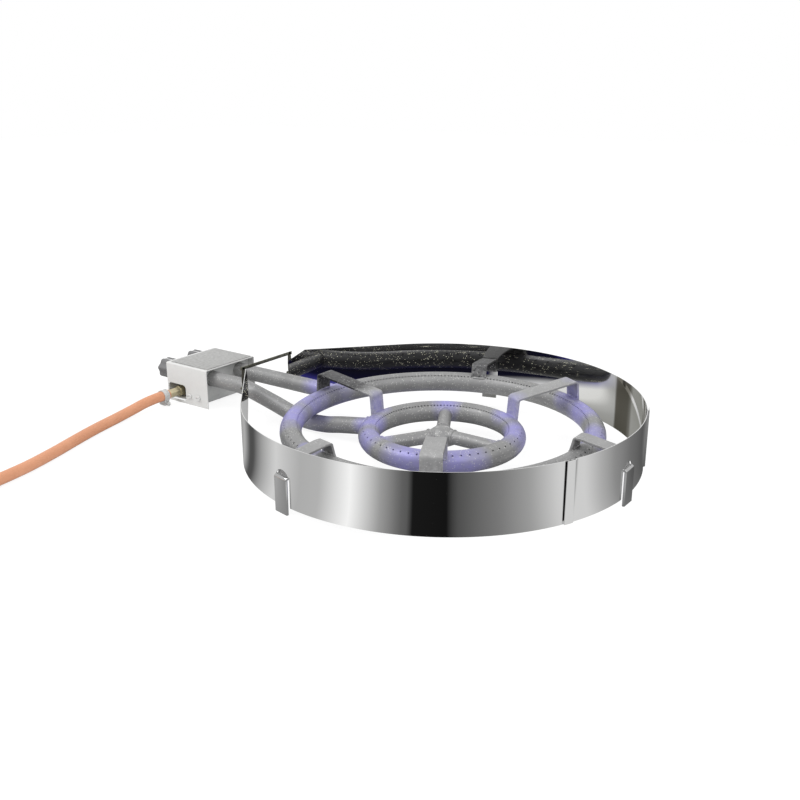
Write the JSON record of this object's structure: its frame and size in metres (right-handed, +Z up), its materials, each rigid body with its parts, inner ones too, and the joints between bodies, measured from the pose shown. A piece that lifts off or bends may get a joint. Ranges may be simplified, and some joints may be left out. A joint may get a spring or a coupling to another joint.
{
  "type": "burner assembly",
  "caption": "Two-ring gas burner with pan supports, polished wind guard, two taps under a light grey cover, and an orange gas hose.",
  "frame": {"origin": "on the ground under the middle of the burner's outline, hose left out", "axes": "+X from the taps to the middle of the rings, +Z up, the hose leaves towards -Y"},
  "size_m": [0.799, 0.8428, 0.079],
  "materials": {
    "burner_steel": "scaled mill steel pipe, heat tinted",
    "bar_steel": "mill steel flat bar",
    "mirror_steel": "mirror polished stainless sheet",
    "black_steel": "black steel strap",
    "cover_paint": "light grey powder coat",
    "inset_plate": "satin grey plate, bare",
    "zinc_steel": "bright zinc plate",
    "brass": "turned brass",
    "knob_plastic": "dark grey moulded",
    "hose_rubber": "orange gas hose, semi-gloss",
    "tie_plastic": "black strap"
  },
  "bodies": {
    "root": {"outer_ring": "burner_steel", "inner_ring": "burner_steel", "outer_feed_tube": "burner_steel", "inner_feed_tube": "burner_steel", "star_hub": "burner_steel", "star_tube_1": "burner_steel", "star_tube_2": "burner_steel", "star_tube_3": "burner_steel", "pan_support_1": "bar_steel", "pan_support_2": "bar_steel", "pan_support_3": "bar_steel", "leg_bracket_1": "bar_steel", "leg_bracket_2": "bar_steel", "leg_bracket_3": "bar_steel", "side_panel_front": "mirror_steel", "side_panel_rear": "mirror_steel", "end_panel": "mirror_steel", "bridge_strap": "black_steel", "bridge_screw_front": "black_steel", "bridge_screw_rear": "black_steel", "tap_cover": "cover_paint", "cover_plate": "inset_plate", "cover_screw_1": "zinc_steel", "cover_screw_2": "zinc_steel", "cover_screw_3": "zinc_steel", "cover_screw_4": "zinc_steel", "tap_bracket": "zinc_steel", "tap_nut_front": "zinc_steel", "tap_nut_rear": "zinc_steel", "air_collar_front": "zinc_steel", "air_collar_rear": "zinc_steel", "hose_clamp": "zinc_steel", "clamp_screw": "zinc_steel", "hose_end_ferrule": "zinc_steel", "gas_rail": "brass", "rail_plug": "brass", "hose_tail": "brass", "tap_front": "brass", "tap_rear": "brass", "injector_front": "brass", "injector_rear": "brass", "hose_end_nut": "brass", "hose_run": "hose_rubber", "hose_coil": "hose_rubber", "hose_tie": "tie_plastic"},
    "front_knob": {"knob_front": "knob_plastic", "spindle_front": "brass"},
    "rear_knob": {"knob_rear": "knob_plastic", "spindle_rear": "brass"}
  },
  "joints": [
    {"name": "front_knob_turn", "type": "hinge", "parent": "root", "child": "front_knob", "pos_m": [-0.34105, -0.0265, 0.039], "axis": [-1, 0, 0], "range_deg": [0, 180]},
    {"name": "rear_knob_turn", "type": "hinge", "parent": "root", "child": "rear_knob", "pos_m": [-0.34105, 0.0265, 0.039], "axis": [-1, 0, 0], "range_deg": [0, 180]}
  ]
}
